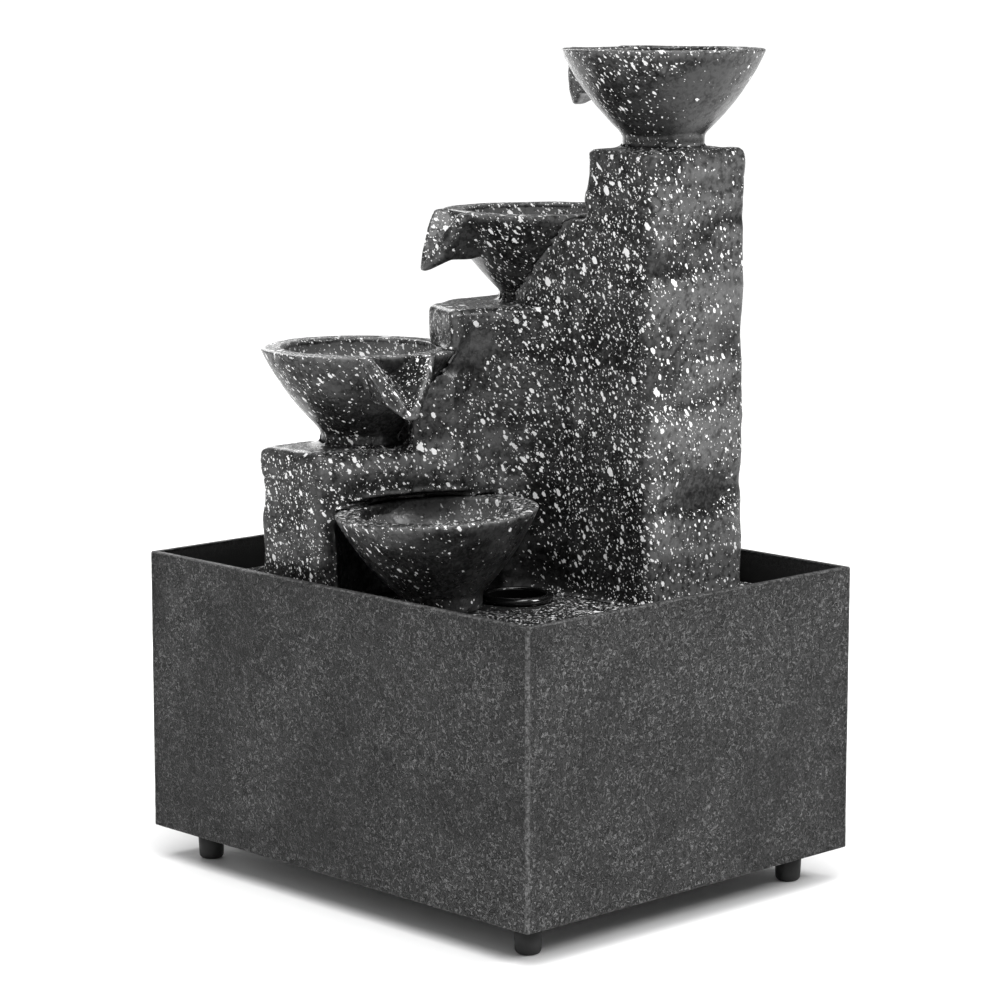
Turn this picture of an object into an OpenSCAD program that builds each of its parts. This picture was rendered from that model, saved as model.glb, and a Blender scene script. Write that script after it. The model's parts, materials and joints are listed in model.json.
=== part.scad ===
// Tabletop water fountain: a slate-look basin on four feet, and a black rockwork cascade
// with four pouring bowls that lifts out of it. A submersible pump feeds the top bowl.
// Millimetres. Origin on the ground under the middle of the basin, +Z up, front towards -Y.

/* [Basin] */
// Length of the basin, left to right
basin_l = 185; // [180:1:200]
// Depth of the basin, front to back
basin_d = 150.4; // [148:0.2:165]
// Height of the basin walls
basin_h = 96; // [92:1:110]
// Thickness of the basin walls and floor
basin_wall = 3; // [2.5:0.1:4]
// Radius of the upright outer corners
basin_corner_r = 1.1; // [0.8:0.1:3]
// Drop from the basin rim to the top of the deck
deck_drop = 10; // [8:0.5:12]

/* [Feet] */
// Height of each foot
foot_h = 11.5; // [8:0.5:14]
// Radius of each foot where it meets the basin
foot_r = 4.7; // [4.2:0.1:8]
// Inset of the foot's centre from the outer walls
foot_inset = 14; // [12:0.5:25]

/* [Rockwork] */
// Height of the low tower above the deck
low_h = 50; // [46:1:56]
// Height of the middle tower above the deck
mid_h = 95.5; // [92:0.5:98]
// Height of the pillar above the deck
pillar_h = 148.5; // [140:0.5:160]
// Width of the pillar
pillar_w = 31; // [29:0.5:33]
// Depth of the pillar
pillar_d = 46.5; // [44:0.5:48]
// Wall thickness of the rockwork castings
rock_wall = 5; // [4:0.5:6]

/* [Bowls] */
// Outer radius of a bowl's rim
bowl_r = 33.8; // [32:0.1:34]
// Height of a bowl
bowl_h = 32.5; // [31:0.5:34]
// Radius of a bowl's foot ring
bowl_foot_r = 13.7; // [12:0.1:15]
// Width of the flat rim
bowl_rim_w = 8.5; // [6:0.1:10]
// Depth of the hollow
hollow_depth = 17; // [14:0.5:19]
// Reach of a spout from the bowl's centre
spout_reach = 43.5; // [41:0.5:45]
// Drop of a spout's tip below the rim
spout_drop = 20; // [18:0.5:22]

/* [Pump] */
// Width of the pump
pump_w = 36; // [35:0.5:40]
// Height of the pump body
pump_h = 44; // [43:0.5:48]
// Radius of the outlet spigot
spigot_r = 3.95; // [3.9:0.01:3.98]
// Inner radius of the delivery hose
hose_bore_r = 4; // [4:0.01:4.02]
// Radius of the cord inlet in the wall grommet
cord_inlet_r = 2.8; // [2.6:0.05:3.2]

/* [Hidden] */
$fn = 64;
eps = 0.01;
thin = 0.3;
inner_edge_r = 1.5;

// levels above the ground
floor_z = foot_h + basin_wall;
rim_z = foot_h + basin_h;
deck_z = rim_z - deck_drop;
deck_t = 4;
deck_gap = 2;
deck_corner_r = 3;
deck_under_z = deck_z - deck_t;
inner_x = basin_l / 2 - basin_wall;
inner_y = basin_d / 2 - basin_wall;
ledge = 12;
ledge_root = 1;
fill_at = [-71.5, 44];
fill_w = 28;
fill_d = 36;
fill_corner_r = 4;

// rockwork plan, measured from the middle of the basin
low_z = deck_z + low_h;
mid_z = deck_z + mid_h;
pillar_z = deck_z + pillar_h;
pillar_x = 47;
pillar_y = 32;
rock_back_y = 50;
rock_left_x = -47;
low_front_y = -64.2;
low_corner_x = -17.5;
mid_front = [2.5, -22.2];
mid_inner = [12.5, 7.8];
cove_end = [24, 7.8];
cove_steps = 6;
mid_left = [-20.5, -12.8];
mid_back_x = -29.5;
pillar_left_x = pillar_x - pillar_w / 2;
low_back_y = 4.8;
pillar_corner_r = 2.4;
seat_sink = 1.5;
niche_wall = rock_wall - 1.5;
web_inset = 4;

// bowls: [x, y, level of the foot, heading of the spout in degrees]
top_at = [46.5, 31, pillar_z, 176];
second_at = [-4.5, 25, mid_z - seat_sink, -111];
third_at = [-28.5, -35, low_z, -19];
lower_at = [13.8, -37.7, deck_z, 46];
lower_tilt = 2.8;
lower_lift = 1;
web_drop = 1.2;
niche_gap = 0.5;
niche_below = 5;
niche_slope = 9.6;
niche_step = 12;
second_web = [[-3, 13], [0, 10.4], [5, 8.3]];
web_front = [-3.5, -34.8];
web_back = [-15.5, -27];
bowl_foot_h = 4.5;
foot_ring_edge = 0.7;
bowl_bulge = 0.4;
profile_steps = 8;
spout_w = 27;
spout_tip_w = 2.6;
spout_shoulder = 5;
spout_shoulder_out = 3.4;
spout_brow = 0.8;
spout_lip = 2.6;
spout_under = 4;
spout_under_run = 9;
spout_root = 7;
spout_taper = [[1, 0], [0.71, 0.4], [0.45, 0.76], [0, 1.02]];
channel_depth = 7.5;
channel_half = 15;
channel_slope = 30;
channel_run = 26;
channel_back = 12;

// drain
drain_at = [20.7, -10.2];
drain_hole_r = 11;
drain_wall = 1.5;
drain_lip_r = 1.3;
drain_len = 9;

// pump: its rotor turns about an axis along Y at (pump_x, axis_z)
pump_x = top_at[0];
outlet_y = top_at[1];
cup_h = 4;
pump_foot_z = floor_z + cup_h;
pump_top_z = pump_foot_z + pump_h;
axis_z = pump_foot_z + 26.5;
shell_t = 2;
cover_y = outlet_y - 17;
housing_y = outlet_y + 7;
housing_back_y = housing_y + 28;
potting_back_y = housing_back_y - 2;
chamber_r = 11;
chamber_wall = 2;
chamber_y = cover_y + 10;
gasket_t = 0.8;
well_r = 7;
well_wall = 2;
well_end_y = housing_y + 22;
shaft_r = 1.5;
rotor_bore_r = 1.56;
rotor_r = 6.3;
blade_r = 9.5;
blade_n = 6;
blade_t = 1;
blade_len = 8;
hub_r = 3;
hub_gap = 0.8;
inlet_r = 5.5;
bush_r = 2.4;
bush_len = 3;
chamber_front_t = 2;
core_y = housing_y + 5;
core_len = 14;
core_leg = 4.5;
core_gap = 0.5;
core_half = well_r + well_wall + core_gap + core_leg;
core_top_z = axis_z + 8;
yoke_z = pump_foot_z + 5.5;
yoke_h = 5;
bobbin_t = 0.8;
winding_t = 2;
cup_r = 6;
cup_lip = 0.6;
cup_hollow = 1.2;
cup_neck_r = 2;
cup_dx = 11;
cup_dy = 7;
cup_y = housing_y + 14;
stud_r = 1.5;
stud_h = 1.2;
spigot_z = pump_top_z + 14;
spigot_bore_r = 2.6;
gland_r = 4.5;
gland_len = 7;
gland_flange_t = 2;
gland_step = 0.8;
gland_z = axis_z + 4;
gland_y = housing_y + 23;

// delivery
hose_wall = 1.5;
hose_z = pump_top_z + 4;
nozzle_r = 5;
nozzle_bore_r = 2.8;
nozzle_top_z = pillar_z + bowl_h - hollow_depth + 5;
barb_len = 9;
hose_top_z = pillar_z - rock_wall;
hose_hole_r = 9;

// wall grommet
grommet_x = 70;
grommet_z = deck_z - 13;
grommet_hole_r = 5;
grommet_flange_r = 7.5;
grommet_flange_t = 1.4;

// flow dial
dial_r = 8;
dial_t = 3;
dial_stem_r = 2;
dial_clear = 0.05;
shutter_r = 13.4;
shutter_t = 1.2;
port_r = 2.2;
port_at = 10.5;
grip_w = 3;
grip_h = 3;

// intake cover
slot_n = 4;
slot_w = 1.8;
slot_pitch = 4;
slot_first = 5;
slot_inset = 7;
sponge_at = 5.2;
sponge_t = 4.2;

// ---------- helpers ----------

// rectangle with true round corners
module round_rect(w, d, r) {
    square([w - 2 * r, d], center = true);
    square([w, d - 2 * r], center = true);
    for (sx = [-1, 1], sy = [-1, 1])
        translate([sx * (w / 2 - r), sy * (d / 2 - r)]) circle(r);
}

module round_box(w, d, h, r) {
    linear_extrude(h) round_rect(w, d, r);
}

// box given by its low and high corners
module span_box(low, high) {
    translate(low) cube(high - low);
}

// cylinder along Y
module y_rod(r, y0, y1) {
    translate([pump_x, y0, axis_z]) rotate([-90, 0, 0]) cylinder(r = r, h = y1 - y0);
}

// radius of a bowl's outside at height z above its foot
function bowl_out(z) = let (t = (z - bowl_foot_h) / (bowl_h - bowl_foot_h))
    bowl_foot_r + (bowl_r - bowl_foot_r) * (t + bowl_bulge * t * (1 - t));

// radius of the hollow at depth z below the rim
function hollow_in(z) = (bowl_r - bowl_rim_w) * sqrt(1 - pow(z / (hollow_depth * 1.06), 2.2));

module bowl_outside() {
    rotate_extrude() polygon(concat(
        [[0, 0], [bowl_foot_r - foot_ring_edge, 0], [bowl_foot_r, 1]],
        [for (i = [0:profile_steps])
            let (z = bowl_foot_h + (bowl_h - bowl_foot_h) * i / profile_steps) [bowl_out(z), z]],
        [[0, bowl_h]]));
}

module bowl_hollow() {
    rotate_extrude() polygon(concat(
        [[0, bowl_h + 1], [bowl_r - bowl_rim_w, bowl_h + 1]],
        [for (i = [0:profile_steps])
            let (z = hollow_depth * i / profile_steps) [hollow_in(z), bowl_h - z]],
        [[0, bowl_h - hollow_depth]]));
}

// side outline of a spout: along it, and up from the bowl's foot
function spout_side() = let (top = bowl_h, tip = top - spout_drop, under = tip + spout_under) [
    [bowl_r - bowl_rim_w, top], [bowl_r + spout_brow, top],
    [bowl_r + spout_shoulder_out, top - spout_drop / 5],
    [spout_reach - spout_lip, top - spout_drop * 0.55], [spout_reach, tip],
    [spout_reach - spout_lip, tip + 0.4], [spout_reach - spout_under_run, under],
    [bowl_r - spout_root, under], [bowl_r - 2 * spout_root, top - spout_root * 1.85]];

// plan outline of a spout
function spout_plan() = let (half = spout_w / 2, tip = spout_tip_w / 2,
    root = bowl_r - 2 * spout_root, side = bowl_r - 2, turn = bowl_r + 4) [
    [root, -half], [side, -half], [turn, spout_shoulder - half], [spout_reach, -tip],
    [spout_reach, tip], [turn, half - spout_shoulder], [side, half], [root, half]];

// half outline of a spout from its front, on side s: it narrows as it falls
function spout_edge(s) = let (tip = spout_tip_w / 2) [for (p = spout_taper)
    [s * (tip + (spout_w / 2 - tip) * p[0]), bowl_h - spout_drop * p[1]]];

module half_spout(s) {
    polygon(concat([[0, bowl_h]], spout_edge(s), [[0, bowl_h - spout_drop * 1.02]]));
}

module spout_body() {
    intersection() {
        translate([0, spout_w / 2, 0]) rotate([90, 0, 0]) linear_extrude(spout_w)
            polygon(spout_side());
        linear_extrude(bowl_h + 1) polygon(spout_plan());
        rotate([90, 0, 90]) linear_extrude(spout_reach + 1) {
            half_spout(-1);
            half_spout(1);
        }
    }
}

// V channel from the hollow out over the tongue
module spout_channel() {
    vee = [[0, 0], [channel_half, channel_half], [-channel_half, channel_half]];
    translate([bowl_r - bowl_rim_w + 0.5, 0, bowl_h - channel_depth]) {
        rotate([0, channel_slope, 0]) rotate([90, 0, 90]) linear_extrude(channel_run) polygon(vee);
        rotate([90, 0, -90]) linear_extrude(channel_back) polygon(vee);
    }
}

module bowl(spout = true) {
    difference() {
        union() {
            bowl_outside();
            if (spout) spout_body();
        }
        bowl_hollow();
        if (spout) spout_channel();
    }
}

module at_lower_bowl() {
    translate([0, 0, lower_lift - bowl_foot_r * sin(lower_tilt)]) at_bowl(lower_at)
        rotate([0, -lower_tilt, 0]) children();
}

module at_bowl(place) {
    translate([place[0], place[1], place[2]]) rotate(place[3]) children();
}

// hollow casting standing on the deck: an outer prism less an inner one, open below,
// with a niche in its wall where the lower bowl backs into it
module rock_shell(outline, inner, h) {
    difference() {
        translate([0, 0, deck_z]) linear_extrude(h) polygon(outline);
        difference() {
            translate([0, 0, deck_z - 1]) linear_extrude(h + 1 - rock_wall) polygon(inner);
            niche(niche_wall);
        }
        niche(0);
    }
}

// room for the lower bowl, grown by g for the wall left round it; above the rim it is the
// rim's outline carried up towards the front, so that the wall comes down to the rim
module niche(g) {
    r = bowl_r + niche_gap + g;
    top = bowl_h + niche_gap + g;
    reach = 2 * r;
    at_lower_bowl() {
        translate([0, 0, -niche_below]) cylinder(r = r, h = top + niche_below);
        translate([0, 0, top]) intersection() {
            rotate([90 - niche_slope, 0, 0]) translate([0, 0, -reach])
                linear_extrude(2 * reach) polygon(rim_seen(r - thin));
            translate([-reach, -reach, -2 * eps]) cube(2 * reach);
        }
    }
}

// a circle of radius r seen at the niche's slope
function rim_seen(r) = [for (a = [0:niche_step:359]) [r * cos(a), r * sin(niche_slope) * sin(a)]];

// ---------- basin ----------

module basin() {
    color([0.2, 0.2, 0.21]) difference() {
        union() {
            difference() {
                translate([0, 0, foot_h]) round_box(basin_l, basin_d, basin_h, basin_corner_r);
                translate([0, 0, floor_z])
                    round_box(inner_x * 2, inner_y * 2, basin_h, inner_edge_r);
            }
            for (sx = [-1, 1], sy = [-1, 1])
                translate([sx * (inner_x - ledge / 2 + ledge_root),
                    sy * (inner_y - ledge / 2 + ledge_root), floor_z - ledge_root])
                    round_box(ledge, ledge, deck_under_z - floor_z + ledge_root, inner_edge_r);
        }
        translate([grommet_x, inner_y - 1, grommet_z]) rotate([-90, 0, 0])
            cylinder(r = grommet_hole_r, h = basin_wall + 2);
        translate([grommet_x, basin_d / 2 - grommet_flange_t, grommet_z]) rotate([-90, 0, 0])
            cylinder(r = grommet_flange_r, h = grommet_flange_t + 1);
    }
}

module foot(sx, sy) {
    edge = 1.6;
    low_r = foot_r - 0.5;
    color([0.05, 0.05, 0.05])
        translate([sx * (basin_l / 2 - foot_inset), sy * (basin_d / 2 - foot_inset), 0])
        rotate_extrude() polygon(concat(
            [[0, 0]],
            [for (a = [0:15:90]) [low_r - edge + edge * sin(a), edge - edge * cos(a)]],
            [[foot_r, foot_h], [0, foot_h]]));
}

module foot_front_left() { foot(-1, -1); }
module foot_front_right() { foot(1, -1); }
module foot_rear_left() { foot(-1, 1); }
module foot_rear_right() { foot(1, 1); }

module cord_grommet() {
    color([0.04, 0.04, 0.04]) translate([grommet_x, 0, grommet_z]) rotate([-90, 0, 0])
        difference() {
            union() {
                translate([0, 0, inner_y]) cylinder(r = grommet_hole_r, h = basin_wall);
                translate([0, 0, basin_d / 2 - grommet_flange_t])
                    cylinder(r = grommet_flange_r, h = grommet_flange_t);
                translate([0, 0, inner_y - grommet_flange_t])
                    cylinder(r = grommet_flange_r, h = grommet_flange_t);
            }
            translate([0, 0, inner_y - grommet_flange_t - 1])
                cylinder(r = cord_inlet_r, h = basin_wall + grommet_flange_t + 2);
        }
}

// ---------- cascade ----------

module deck_plate() {
    color([0.1, 0.1, 0.1]) difference() {
        translate([0, 0, deck_under_z])
            round_box((inner_x - deck_gap) * 2, (inner_y - deck_gap) * 2, deck_t, deck_corner_r);
        translate([drain_at[0], drain_at[1], deck_under_z - 1])
            cylinder(r = drain_hole_r, h = deck_t + 2);
        translate([pump_x, outlet_y, deck_under_z - 1]) cylinder(r = hose_hole_r, h = deck_t + 2);
        // opening at the rear left for fingers, for filling and for seeing the water level
        translate([fill_at[0], fill_at[1], deck_under_z - 1])
            round_box(fill_w, fill_d, deck_t + 2, fill_corner_r);
    }
}

module drain_ring() {
    color([0.03, 0.03, 0.03]) translate([drain_at[0], drain_at[1], deck_z]) rotate_extrude()
        union() {
            translate([drain_hole_r - drain_wall, -drain_len]) square([drain_wall, drain_len]);
            translate([drain_hole_r - drain_wall, 0]) square([drain_wall + drain_lip_r, drain_lip_r]);
            translate([drain_hole_r, drain_lip_r]) circle(drain_lip_r);
        }
}

function low_outline() = [
    [rock_left_x, low_front_y], [low_corner_x, low_front_y], mid_front, mid_left,
    [mid_back_x, low_back_y], [rock_left_x, low_back_y]];

function low_inner() = let (t = rock_wall) [
    [rock_left_x + t, low_front_y + t], [low_corner_x - t * 0.6, low_front_y + t],
    [mid_front[0] - t * 1.6, mid_front[1] - t * 0.2], [mid_left[0] - t * 0.6, mid_left[1] - t],
    [mid_back_x - t, low_back_y - t], [rock_left_x + t, low_back_y - t]];

module low_tower() {
    color([0.12, 0.12, 0.12]) rock_shell(low_outline(), low_inner(), low_h);
}

// quarter ellipse from a, leaving along Y, to b, arriving along X
function cove(a, b) = [for (i = [0:cove_steps]) let (t = 90 * i / cove_steps)
    [a[0] + (b[0] - a[0]) * (1 - cos(t)), a[1] + (b[1] - a[1]) * sin(t)]];

function mid_outline() = concat(cove(mid_front, cove_end), [
    [pillar_left_x, cove_end[1]], [pillar_left_x, rock_back_y],
    [mid_back_x, rock_back_y], [mid_back_x, low_back_y], mid_left]);

function mid_cavity() = let (t = rock_wall) [
    [mid_front[0] - t * 0.5, mid_front[1] + t * 1.4], [mid_inner[0] - t, mid_inner[1] + t],
    [pillar_left_x - t, mid_inner[1] + t], [pillar_left_x - t, rock_back_y - t],
    [mid_back_x + t, rock_back_y - t], [mid_back_x + t, low_back_y + t * 0.4],
    [mid_left[0] + t * 0.6, mid_left[1] + t]];

module middle_tower() {
    color([0.11, 0.11, 0.11]) difference() {
        union() {
            rock_shell(mid_outline(), mid_cavity(), mid_h);
            // web that holds the second bowl against the pillar
            translate([0, 0, mid_z - rock_wall])
                linear_extrude(rock_wall - seat_sink + bowl_h - web_drop)
                polygon(concat(second_web, [mid_inner, [pillar_left_x, mid_inner[1]],
                    [pillar_left_x, rock_back_y - web_inset],
                    [second_web[0][0], rock_back_y - web_inset]]));
            // web that holds the third bowl against this tower
            translate([0, 0, low_z]) linear_extrude(bowl_h - web_drop)
                polygon([mid_front, web_front, web_back, mid_left, [0, 0]]);
        }
        for (place = [second_at, third_at]) at_bowl(place) {
            bowl_outside();
            spout_body();
        }
    }
}

module pillar() {
    color([0.16, 0.16, 0.16]) translate([pillar_x, pillar_y, deck_z]) difference() {
        round_box(pillar_w, pillar_d, pillar_h, pillar_corner_r);
        translate([0, 0, -1])
            round_box(pillar_w - 2 * rock_wall, pillar_d - 2 * rock_wall,
                pillar_h + 1 - rock_wall, inner_edge_r);
        translate([pump_x - pillar_x, outlet_y - pillar_y, pillar_h - rock_wall - 1])
            cylinder(r = nozzle_r, h = rock_wall + 2);
    }
}

module top_bowl() {
    color([0.13, 0.13, 0.13]) difference() {
        at_bowl(top_at) bowl();
        translate([top_at[0], top_at[1], top_at[2] - 1]) cylinder(r = nozzle_r, h = bowl_h);
    }
}

module second_bowl() { color([0.13, 0.13, 0.13]) at_bowl(second_at) bowl(); }

module third_bowl() { color([0.13, 0.13, 0.13]) at_bowl(third_at) bowl(); }

// the lower bowl leans a little, so its foot is made longer and cut level with the deck
module lower_bowl() {
    extra = 2;
    color([0.1, 0.1, 0.1]) difference() {
        at_lower_bowl() {
            bowl(spout = false);
            translate([0, 0, -extra]) cylinder(r = bowl_foot_r - foot_ring_edge, h = extra + 1);
        }
        translate([lower_at[0], lower_at[1], deck_under_z]) cylinder(r = bowl_r, h = deck_t);
    }
}

module outlet_nozzle() {
    color([0.05, 0.05, 0.05]) translate([top_at[0], top_at[1], 0]) difference() {
        union() {
            translate([0, 0, hose_top_z]) cylinder(r = nozzle_r, h = nozzle_top_z - hose_top_z);
            translate([0, 0, hose_top_z - barb_len]) cylinder(r = hose_bore_r, h = barb_len + eps);
        }
        translate([0, 0, hose_top_z - barb_len - 1]) cylinder(r = nozzle_bore_r, h = nozzle_top_z);
    }
}

module delivery_hose() {
    color([0.75, 0.78, 0.8]) translate([top_at[0], top_at[1], hose_z]) difference() {
        cylinder(r = hose_bore_r + hose_wall, h = hose_top_z - hose_z);
        translate([0, 0, -1]) cylinder(r = hose_bore_r, h = hose_top_z - hose_z + 2);
    }
}

// ---------- pump ----------

module pump_housing() {
    half = pump_w / 2;
    color([0.06, 0.06, 0.07]) difference() {
        union() {
            difference() {
                span_box([pump_x - half, housing_y, pump_foot_z],
                    [pump_x + half, housing_back_y, pump_top_z]);
                span_box([pump_x - half + shell_t, housing_y + shell_t, pump_foot_z + shell_t],
                    [pump_x + half - shell_t, housing_back_y + 1, pump_top_z - shell_t]);
            }
            y_rod(well_r + well_wall, housing_y + shell_t / 2, well_end_y + well_wall);
            locating_lip();
        }
        y_rod(well_r, housing_y - 1, well_end_y);
        for (sx = [-1, 1], sy = [-1, 1])
            translate([pump_x + sx * cup_dx, cup_y + sy * cup_dy, pump_foot_z - 1])
                cylinder(r = stud_r, h = stud_h + 1);
        translate([pump_x + half - shell_t - 1, gland_y, gland_z]) rotate([0, 90, 0])
            cylinder(r = cord_inlet_r, h = shell_t + 2);
    }
}

// frame on the front of the housing that the intake cover slips over
module locating_lip() {
    out = pump_w / 2 - shell_t - thin;
    lip_w = 1.4;
    lip_len = 3;
    difference() {
        span_box([pump_x - out, housing_y - lip_len, pump_foot_z + shell_t + thin],
            [pump_x + out, housing_y + eps, pump_top_z - shell_t - thin]);
        span_box([pump_x - out + lip_w, housing_y - lip_len - 1, pump_foot_z + shell_t + thin + lip_w],
            [pump_x + out - lip_w, housing_y + 1, pump_top_z - shell_t - thin - lip_w]);
    }
}

module core_solid() {
    span_box([pump_x - core_half, core_y, yoke_z],
        [pump_x - core_half + core_leg, core_y + core_len, core_top_z]);
    span_box([pump_x + core_half - core_leg, core_y, yoke_z],
        [pump_x + core_half, core_y + core_len, core_top_z]);
    span_box([pump_x - core_half, core_y, yoke_z],
        [pump_x + core_half, core_y + core_len, yoke_z + yoke_h]);
}

module stator_core() { color([0.45, 0.45, 0.47]) core_solid(); }

// sleeve round the yoke, grown by g on its four sides, between x = -w and x = w
module yoke_sleeve(g, w) {
    span_box([pump_x - w, core_y - g, yoke_z - g],
        [pump_x + w, core_y + core_len + g, yoke_z + yoke_h + g]);
}

module bobbin_solid() {
    w = core_half - core_leg;
    yoke_sleeve(bobbin_t, w);
    for (s = [-1, 1]) intersection() {
        yoke_sleeve(bobbin_t + winding_t, w);
        translate([s * (w - bobbin_t / 2), 0, 0]) yoke_sleeve(20, bobbin_t / 2);
    }
}

module coil_bobbin() {
    color([0.9, 0.88, 0.8]) difference() {
        bobbin_solid();
        core_solid();
    }
}

module coil_winding() {
    color([0.72, 0.4, 0.18]) difference() {
        yoke_sleeve(bobbin_t + winding_t, core_half - core_leg - bobbin_t);
        yoke_sleeve(bobbin_t, core_half);
    }
}

module motor_potting() {
    half = pump_w / 2 - shell_t;
    color([0.08, 0.08, 0.1]) difference() {
        span_box([pump_x - half, housing_y + shell_t, pump_foot_z + shell_t],
            [pump_x + half, potting_back_y, pump_top_z - shell_t]);
        y_rod(well_r + well_wall, housing_y, well_end_y + well_wall);
        core_solid();
        yoke_sleeve(bobbin_t + winding_t, core_half - core_leg);
    }
}

module motor_cord_gland() {
    color([0.04, 0.04, 0.04])
        translate([pump_x + pump_w / 2, gland_y, gland_z]) rotate([0, 90, 0]) difference() {
            union() {
                cylinder(r = gland_r, h = gland_flange_t);
                cylinder(r = gland_r - gland_step, h = gland_len);
            }
            translate([0, 0, -1]) cylinder(r = cord_inlet_r, h = gland_len + 2);
        }
}

module impeller_chamber() {
    rib_w = 1.6;
    front_t = chamber_front_t;
    color([0.07, 0.07, 0.08]) difference() {
        union() {
            difference() {
                y_rod(chamber_r + chamber_wall, chamber_y, housing_y - gasket_t);
                y_rod(chamber_r, chamber_y + front_t, housing_y);
                y_rod(inlet_r, chamber_y - 1, chamber_y + front_t + 1);
            }
            y_rod(bush_r + 0.8, chamber_y, chamber_y + front_t);
            for (a = [90:120:330])
                translate([pump_x, chamber_y, axis_z]) rotate([0, a, 0])
                    translate([bush_r, 0, -rib_w / 2]) cube([inlet_r, front_t, rib_w]);
            difference() {
                translate([pump_x, outlet_y, axis_z])
                    cylinder(r = spigot_r, h = spigot_z - axis_z);
                y_rod(chamber_r, chamber_y + front_t, housing_y);
            }
        }
        translate([pump_x, outlet_y, axis_z + chamber_r - 2])
            cylinder(r = spigot_bore_r, h = spigot_z - axis_z);
        y_rod(bush_r, chamber_y - 1, chamber_y + front_t + 1);
    }
}

module chamber_gasket() {
    color([0.5, 0.12, 0.08]) difference() {
        y_rod(chamber_r + chamber_wall, housing_y - gasket_t, housing_y);
        y_rod(chamber_r, housing_y - gasket_t - 1, housing_y + 1);
    }
}

module rotor_magnet() {
    color([0.25, 0.25, 0.27]) difference() {
        y_rod(rotor_r, housing_y + hub_gap, well_end_y - bush_len - 0.5);
        y_rod(rotor_bore_r, housing_y, well_end_y);
    }
}

module impeller() {
    blade_front = chamber_y + chamber_front_t + 1;
    color([0.85, 0.85, 0.82]) difference() {
        union() {
            y_rod(hub_r, blade_front, housing_y + hub_gap);
            for (i = [0:blade_n - 1])
                translate([pump_x, blade_front, axis_z]) rotate([0, i * 360 / blade_n, 0])
                    translate([hub_r - 1, 0, -blade_t / 2])
                    cube([blade_r - hub_r + 1, blade_len, blade_t]);
        }
        y_rod(rotor_bore_r, chamber_y, housing_y + 2);
    }
}

module rotor_shaft() {
    color([0.92, 0.92, 0.9]) y_rod(shaft_r, chamber_y, well_end_y);
}

module rear_bush() {
    color([0.1, 0.1, 0.1]) difference() {
        y_rod(well_r, well_end_y - bush_len, well_end_y);
        y_rod(shaft_r, well_end_y - bush_len - 1, well_end_y + 1);
    }
}

module front_bush() {
    color([0.1, 0.1, 0.1]) difference() {
        y_rod(bush_r, chamber_y, chamber_y + chamber_front_t);
        y_rod(shaft_r, chamber_y - 1, chamber_y + chamber_front_t + 1);
    }
}

module intake_cover() {
    half = pump_w / 2;
    color([0.06, 0.06, 0.07]) difference() {
        span_box([pump_x - half, cover_y, pump_foot_z], [pump_x + half, housing_y, pump_top_z]);
        span_box([pump_x - half + shell_t, cover_y + shell_t, pump_foot_z + shell_t],
            [pump_x + half - shell_t, housing_y + 1, pump_top_z - shell_t]);
        y_rod(dial_stem_r + dial_clear, cover_y - 1, cover_y + shell_t + 1);
        for (sx = [-1, 1])
            translate([pump_x + sx * port_at, cover_y - 1, axis_z]) rotate([-90, 0, 0])
                cylinder(r = port_r, h = shell_t + 2);
        for (i = [0:slot_n - 1])
            translate([pump_x - half - 1, cover_y + slot_first + i * slot_pitch,
                pump_foot_z + slot_inset])
                cube([pump_w + 2, slot_w, pump_h - 2 * slot_inset]);
        outlet_slot();
    }
}

// slot in the cover's roof that lets it slide off past the outlet
module outlet_slot() {
    r = spigot_r + 0.5;
    span_box([pump_x - r, outlet_y, pump_top_z - shell_t - 1],
        [pump_x + r, housing_y + 1, pump_top_z + 1]);
    translate([pump_x, outlet_y, pump_top_z - shell_t - 1]) cylinder(r = r, h = shell_t + 2);
}

module intake_sponge() {
    half = pump_w / 2 - shell_t;
    color([0.15, 0.15, 0.16])
        span_box([pump_x - half, cover_y + sponge_at, pump_foot_z + shell_t],
            [pump_x + half, cover_y + sponge_at + sponge_t, pump_top_z - shell_t]);
}

module flow_dial() {
    back = cover_y + shell_t + thin;
    shutter_half = port_r + thin;
    color([0.1, 0.1, 0.1]) {
        y_rod(dial_r, cover_y - thin - dial_t, cover_y - thin);
        translate([pump_x - grip_w / 2, cover_y - thin - dial_t - grip_h, axis_z - dial_r + 1])
            cube([grip_w, grip_h + eps, 2 * dial_r - 2]);
        y_rod(dial_stem_r, cover_y - thin - 1, back + 1);
        intersection() {
            y_rod(shutter_r, back, back + shutter_t);
            translate([pump_x - shutter_half, back - 1, axis_z - shutter_r])
                cube([2 * shutter_half, shutter_t + 2, 2 * shutter_r]);
        }
    }
}

module suction_cups() {
    color([0.55, 0.57, 0.58]) for (sx = [-1, 1], sy = [-1, 1])
        translate([pump_x + sx * cup_dx, cup_y + sy * cup_dy, floor_z]) rotate_extrude()
            polygon([[0, cup_hollow], [cup_r - cup_lip, 0], [cup_r, 0],
                [cup_r * 0.55, cup_h / 2], [cup_neck_r, cup_h * 0.6], [cup_neck_r, cup_h],
                [stud_r, cup_h], [stud_r, cup_h + stud_h], [0, cup_h + stud_h]]);
}

// ---------- one line for each piece ----------

basin();
foot_front_left();
foot_front_right();
foot_rear_left();
foot_rear_right();
cord_grommet();
deck_plate();
drain_ring();
low_tower();
middle_tower();
pillar();
top_bowl();
second_bowl();
third_bowl();
lower_bowl();
outlet_nozzle();
delivery_hose();
pump_housing();
motor_potting();
stator_core();
coil_bobbin();
coil_winding();
motor_cord_gland();
impeller_chamber();
chamber_gasket();
rotor_magnet();
impeller();
rotor_shaft();
rear_bush();
front_bush();
intake_cover();
intake_sponge();
flow_dial();
suction_cups();
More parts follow.
